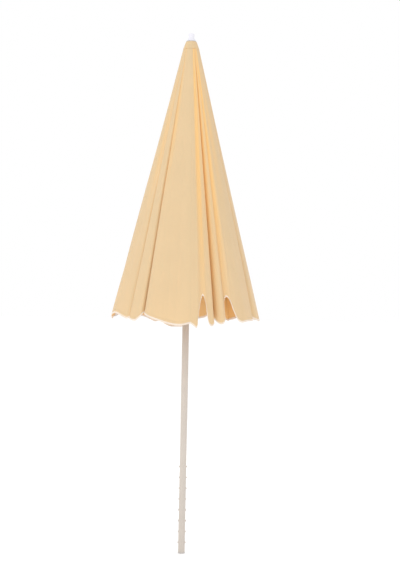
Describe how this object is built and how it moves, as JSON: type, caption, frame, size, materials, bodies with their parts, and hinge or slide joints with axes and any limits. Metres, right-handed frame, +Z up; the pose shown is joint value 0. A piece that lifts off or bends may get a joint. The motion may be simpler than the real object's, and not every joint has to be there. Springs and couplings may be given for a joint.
{
  "type": "sun umbrella with pole",
  "caption": "Closed garden sun umbrella on a two-piece pole, with hinged ribs, struts, sliding runner and a canvas canopy.",
  "frame": {"origin": "centre of the flat underside of the pole's foot", "axes": "+Z up along the pole; -Y points to the front rib; +X points to the right"},
  "size_m": [0.5406, 0.5406, 1.92],
  "materials": {
    "ivory_paint": "satin",
    "steel": "satin",
    "white_plastic": "satin",
    "grey_plastic": "matt",
    "canvas": "matt"
  },
  "bodies": {
    "lower_pole": {"lower_pole": "ivory_paint", "foot_cap": "grey_plastic"},
    "upper_pole": {"upper_pole": "ivory_paint", "crown_hub": "white_plastic", "crown_ring": "steel", "crown_cover": "canvas", "cap_washer": "grey_plastic", "finial_cap": "white_plastic"},
    "runner": {"runner": "white_plastic", "runner_grip": "grey_plastic"},
    "latch": {"runner_latch": "grey_plastic"},
    "rib_1": {"rib_1": "steel", "rib_tip_1": "white_plastic", "rib_clip_1": "steel"},
    "strut_1": {"strut_1": "steel"},
    "rib_2": {"rib_2": "steel", "rib_tip_2": "white_plastic", "rib_clip_2": "steel"},
    "strut_2": {"strut_2": "steel"},
    "rib_3": {"rib_3": "steel", "rib_tip_3": "white_plastic", "rib_clip_3": "steel"},
    "strut_3": {"strut_3": "steel"},
    "rib_4": {"rib_4": "steel", "rib_tip_4": "white_plastic", "rib_clip_4": "steel"},
    "strut_4": {"strut_4": "steel"},
    "rib_5": {"rib_5": "steel", "rib_tip_5": "white_plastic", "rib_clip_5": "steel"},
    "strut_5": {"strut_5": "steel"},
    "rib_6": {"rib_6": "steel", "rib_tip_6": "white_plastic", "rib_clip_6": "steel"},
    "strut_6": {"strut_6": "steel"},
    "rib_7": {"rib_7": "steel", "rib_tip_7": "white_plastic", "rib_clip_7": "steel"},
    "strut_7": {"strut_7": "steel"},
    "rib_8": {"rib_8": "steel", "rib_tip_8": "white_plastic", "rib_clip_8": "steel"},
    "strut_8": {"strut_8": "steel"},
    "canopy_right_1": {"canopy_right_1": "canvas"},
    "canopy_left_1": {"canopy_left_1": "canvas"},
    "canopy_right_2": {"canopy_right_2": "canvas"},
    "canopy_left_2": {"canopy_left_2": "canvas"},
    "canopy_right_3": {"canopy_right_3": "canvas"},
    "canopy_left_3": {"canopy_left_3": "canvas"},
    "canopy_right_4": {"canopy_right_4": "canvas"},
    "canopy_left_4": {"canopy_left_4": "canvas"},
    "canopy_right_5": {"canopy_right_5": "canvas"},
    "canopy_left_5": {"canopy_left_5": "canvas"},
    "canopy_right_6": {"canopy_right_6": "canvas"},
    "canopy_left_6": {"canopy_left_6": "canvas"},
    "canopy_right_7": {"canopy_right_7": "canvas"},
    "canopy_left_7": {"canopy_left_7": "canvas"},
    "canopy_right_8": {"canopy_right_8": "canvas"},
    "canopy_left_8": {"canopy_left_8": "canvas"}
  },
  "joints": [
    {"name": "pole_slip", "type": "slide", "parent": "lower_pole", "child": "upper_pole", "axis": [0, 0, 1], "range_m": [0, 0.07]},
    {"name": "runner_slide", "type": "slide", "parent": "upper_pole", "child": "runner", "axis": [0, 0, 1], "range_m": [0, 0.47375]},
    {"name": "latch_press", "type": "hinge", "parent": "runner", "child": "latch", "pos_m": [0.00746, -0.01802, 0.9843], "axis": [0.9239, 0.3827, 0], "range_deg": [0, 8], "stiffness_Nm_per_rad": 0.05},
    {"name": "rib_hinge_1", "type": "hinge", "parent": "upper_pole", "child": "rib_1", "pos_m": [0, -0.0165, 1.848], "axis": [-1, 0, 0], "range_deg": [0, 56]},
    {"name": "strut_hinge_1", "type": "hinge", "parent": "rib_1", "child": "strut_1", "pos_m": [0, -0.10938, 1.4383], "axis": [1, 0, 0], "range_deg": [0, 104.73]},
    {"name": "rib_hinge_2", "type": "hinge", "parent": "upper_pole", "child": "rib_2", "pos_m": [0.01167, -0.01167, 1.848], "axis": [-0.7071, -0.7071, 0], "range_deg": [0, 56]},
    {"name": "strut_hinge_2", "type": "hinge", "parent": "rib_2", "child": "strut_2", "pos_m": [0.07734, -0.07734, 1.4383], "axis": [0.7071, 0.7071, 0], "range_deg": [0, 104.73]},
    {"name": "rib_hinge_3", "type": "hinge", "parent": "upper_pole", "child": "rib_3", "pos_m": [0.0165, 0, 1.848], "axis": [0, -1, 0], "range_deg": [0, 56]},
    {"name": "strut_hinge_3", "type": "hinge", "parent": "rib_3", "child": "strut_3", "pos_m": [0.10938, 0, 1.4383], "axis": [0, 1, 0], "range_deg": [0, 104.73]},
    {"name": "rib_hinge_4", "type": "hinge", "parent": "upper_pole", "child": "rib_4", "pos_m": [0.01167, 0.01167, 1.848], "axis": [0.7071, -0.7071, 0], "range_deg": [0, 56]},
    {"name": "strut_hinge_4", "type": "hinge", "parent": "rib_4", "child": "strut_4", "pos_m": [0.07734, 0.07734, 1.4383], "axis": [-0.7071, 0.7071, 0], "range_deg": [0, 104.73]},
    {"name": "rib_hinge_5", "type": "hinge", "parent": "upper_pole", "child": "rib_5", "pos_m": [0, 0.0165, 1.848], "axis": [1, 0, 0], "range_deg": [0, 56]},
    {"name": "strut_hinge_5", "type": "hinge", "parent": "rib_5", "child": "strut_5", "pos_m": [0, 0.10938, 1.4383], "axis": [-1, 0, 0], "range_deg": [0, 104.73]},
    {"name": "rib_hinge_6", "type": "hinge", "parent": "upper_pole", "child": "rib_6", "pos_m": [-0.01167, 0.01167, 1.848], "axis": [0.7071, 0.7071, 0], "range_deg": [0, 56]},
    {"name": "strut_hinge_6", "type": "hinge", "parent": "rib_6", "child": "strut_6", "pos_m": [-0.07734, 0.07734, 1.4383], "axis": [-0.7071, -0.7071, 0], "range_deg": [0, 104.73]},
    {"name": "rib_hinge_7", "type": "hinge", "parent": "upper_pole", "child": "rib_7", "pos_m": [-0.0165, 0, 1.848], "axis": [0, 1, 0], "range_deg": [0, 56]},
    {"name": "strut_hinge_7", "type": "hinge", "parent": "rib_7", "child": "strut_7", "pos_m": [-0.10938, 0, 1.4383], "axis": [0, -1, 0], "range_deg": [0, 104.73]},
    {"name": "rib_hinge_8", "type": "hinge", "parent": "upper_pole", "child": "rib_8", "pos_m": [-0.01167, -0.01167, 1.848], "axis": [-0.7071, 0.7071, 0], "range_deg": [0, 56]},
    {"name": "strut_hinge_8", "type": "hinge", "parent": "rib_8", "child": "strut_8", "pos_m": [-0.07734, -0.07734, 1.4383], "axis": [0.7071, -0.7071, 0], "range_deg": [0, 104.73]},
    {"name": "cloth_right_1", "type": "hinge", "parent": "rib_1", "child": "canopy_right_1", "pos_m": [0.00443, -0.02582, 1.85081], "axis": [0.1173, -0.2351, -0.9649], "range_deg": [0, 103.7], "deforming": ["canopy_right_1"]},
    {"name": "cloth_left_1", "type": "hinge", "parent": "rib_1", "child": "canopy_left_1", "pos_m": [-0.00443, -0.02582, 1.85081], "axis": [0.1173, 0.2351, 0.9649], "range_deg": [0, 103.7], "deforming": ["canopy_left_1"]},
    {"name": "cloth_right_2", "type": "hinge", "parent": "rib_2", "child": "canopy_right_2", "pos_m": [0.02139, -0.01512, 1.85081], "axis": [0.2492, -0.0833, -0.9649], "range_deg": [0, 103.7], "deforming": ["canopy_right_2"]},
    {"name": "cloth_left_2", "type": "hinge", "parent": "rib_2", "child": "canopy_left_2", "pos_m": [0.01512, -0.02139, 1.85081], "axis": [-0.0833, 0.2492, 0.9649], "range_deg": [0, 103.7], "deforming": ["canopy_left_2"]},
    {"name": "cloth_right_3", "type": "hinge", "parent": "rib_3", "child": "canopy_right_3", "pos_m": [0.02582, 0.00443, 1.85081], "axis": [0.2351, 0.1173, -0.9649], "range_deg": [0, 103.7], "deforming": ["canopy_right_3"]},
    {"name": "cloth_left_3", "type": "hinge", "parent": "rib_3", "child": "canopy_left_3", "pos_m": [0.02582, -0.00443, 1.85081], "axis": [-0.2351, 0.1173, 0.9649], "range_deg": [0, 103.7], "deforming": ["canopy_left_3"]},
    {"name": "cloth_right_4", "type": "hinge", "parent": "rib_4", "child": "canopy_right_4", "pos_m": [0.01512, 0.02139, 1.85081], "axis": [0.0833, 0.2492, -0.9649], "range_deg": [0, 103.7], "deforming": ["canopy_right_4"]},
    {"name": "cloth_left_4", "type": "hinge", "parent": "rib_4", "child": "canopy_left_4", "pos_m": [0.02139, 0.01512, 1.85081], "axis": [-0.2492, -0.0833, 0.9649], "range_deg": [0, 103.7], "deforming": ["canopy_left_4"]},
    {"name": "cloth_right_5", "type": "hinge", "parent": "rib_5", "child": "canopy_right_5", "pos_m": [-0.00443, 0.02582, 1.85081], "axis": [-0.1173, 0.2351, -0.9649], "range_deg": [0, 103.7], "deforming": ["canopy_right_5"]},
    {"name": "cloth_left_5", "type": "hinge", "parent": "rib_5", "child": "canopy_left_5", "pos_m": [0.00443, 0.02582, 1.85081], "axis": [-0.1173, -0.2351, 0.9649], "range_deg": [0, 103.7], "deforming": ["canopy_left_5"]},
    {"name": "cloth_right_6", "type": "hinge", "parent": "rib_6", "child": "canopy_right_6", "pos_m": [-0.02139, 0.01512, 1.85081], "axis": [-0.2492, 0.0833, -0.9649], "range_deg": [0, 103.7], "deforming": ["canopy_right_6"]},
    {"name": "cloth_left_6", "type": "hinge", "parent": "rib_6", "child": "canopy_left_6", "pos_m": [-0.01512, 0.02139, 1.85081], "axis": [0.0833, -0.2492, 0.9649], "range_deg": [0, 103.7], "deforming": ["canopy_left_6"]},
    {"name": "cloth_right_7", "type": "hinge", "parent": "rib_7", "child": "canopy_right_7", "pos_m": [-0.02582, -0.00443, 1.85081], "axis": [-0.2351, -0.1173, -0.9649], "range_deg": [0, 103.7], "deforming": ["canopy_right_7"]},
    {"name": "cloth_left_7", "type": "hinge", "parent": "rib_7", "child": "canopy_left_7", "pos_m": [-0.02582, 0.00443, 1.85081], "axis": [0.2351, -0.1173, 0.9649], "range_deg": [0, 103.7], "deforming": ["canopy_left_7"]},
    {"name": "cloth_right_8", "type": "hinge", "parent": "rib_8", "child": "canopy_right_8", "pos_m": [-0.01512, -0.02139, 1.85081], "axis": [-0.0833, -0.2492, -0.9649], "range_deg": [0, 103.7], "deforming": ["canopy_right_8"]},
    {"name": "cloth_left_8", "type": "hinge", "parent": "rib_8", "child": "canopy_left_8", "pos_m": [-0.02139, -0.01512, 1.85081], "axis": [0.2492, 0.0833, 0.9649], "range_deg": [0, 103.7], "deforming": ["canopy_left_8"]}
  ],
  "couplings": [
    {"joint": "rib_hinge_1", "follows": "runner_slide", "rad_per_m": 2.0631},
    {"joint": "strut_hinge_1", "follows": "runner_slide", "rad_per_m": 3.8577},
    {"joint": "rib_hinge_2", "follows": "runner_slide", "rad_per_m": 2.0631},
    {"joint": "strut_hinge_2", "follows": "runner_slide", "rad_per_m": 3.8577},
    {"joint": "rib_hinge_3", "follows": "runner_slide", "rad_per_m": 2.0631},
    {"joint": "strut_hinge_3", "follows": "runner_slide", "rad_per_m": 3.8577},
    {"joint": "rib_hinge_4", "follows": "runner_slide", "rad_per_m": 2.0631},
    {"joint": "strut_hinge_4", "follows": "runner_slide", "rad_per_m": 3.8577},
    {"joint": "rib_hinge_5", "follows": "runner_slide", "rad_per_m": 2.0631},
    {"joint": "strut_hinge_5", "follows": "runner_slide", "rad_per_m": 3.8577},
    {"joint": "rib_hinge_6", "follows": "runner_slide", "rad_per_m": 2.0631},
    {"joint": "strut_hinge_6", "follows": "runner_slide", "rad_per_m": 3.8577},
    {"joint": "rib_hinge_7", "follows": "runner_slide", "rad_per_m": 2.0631},
    {"joint": "strut_hinge_7", "follows": "runner_slide", "rad_per_m": 3.8577},
    {"joint": "rib_hinge_8", "follows": "runner_slide", "rad_per_m": 2.0631},
    {"joint": "strut_hinge_8", "follows": "runner_slide", "rad_per_m": 3.8577},
    {"joint": "cloth_right_1", "follows": "runner_slide", "rad_per_m": 3.8197},
    {"joint": "cloth_left_1", "follows": "runner_slide", "rad_per_m": 3.8197},
    {"joint": "cloth_right_2", "follows": "runner_slide", "rad_per_m": 3.8197},
    {"joint": "cloth_left_2", "follows": "runner_slide", "rad_per_m": 3.8197},
    {"joint": "cloth_right_3", "follows": "runner_slide", "rad_per_m": 3.8197},
    {"joint": "cloth_left_3", "follows": "runner_slide", "rad_per_m": 3.8197},
    {"joint": "cloth_right_4", "follows": "runner_slide", "rad_per_m": 3.8197},
    {"joint": "cloth_left_4", "follows": "runner_slide", "rad_per_m": 3.8197},
    {"joint": "cloth_right_5", "follows": "runner_slide", "rad_per_m": 3.8197},
    {"joint": "cloth_left_5", "follows": "runner_slide", "rad_per_m": 3.8197},
    {"joint": "cloth_right_6", "follows": "runner_slide", "rad_per_m": 3.8197},
    {"joint": "cloth_left_6", "follows": "runner_slide", "rad_per_m": 3.8197},
    {"joint": "cloth_right_7", "follows": "runner_slide", "rad_per_m": 3.8197},
    {"joint": "cloth_left_7", "follows": "runner_slide", "rad_per_m": 3.8197},
    {"joint": "cloth_right_8", "follows": "runner_slide", "rad_per_m": 3.8197},
    {"joint": "cloth_left_8", "follows": "runner_slide", "rad_per_m": 3.8197}
  ]
}
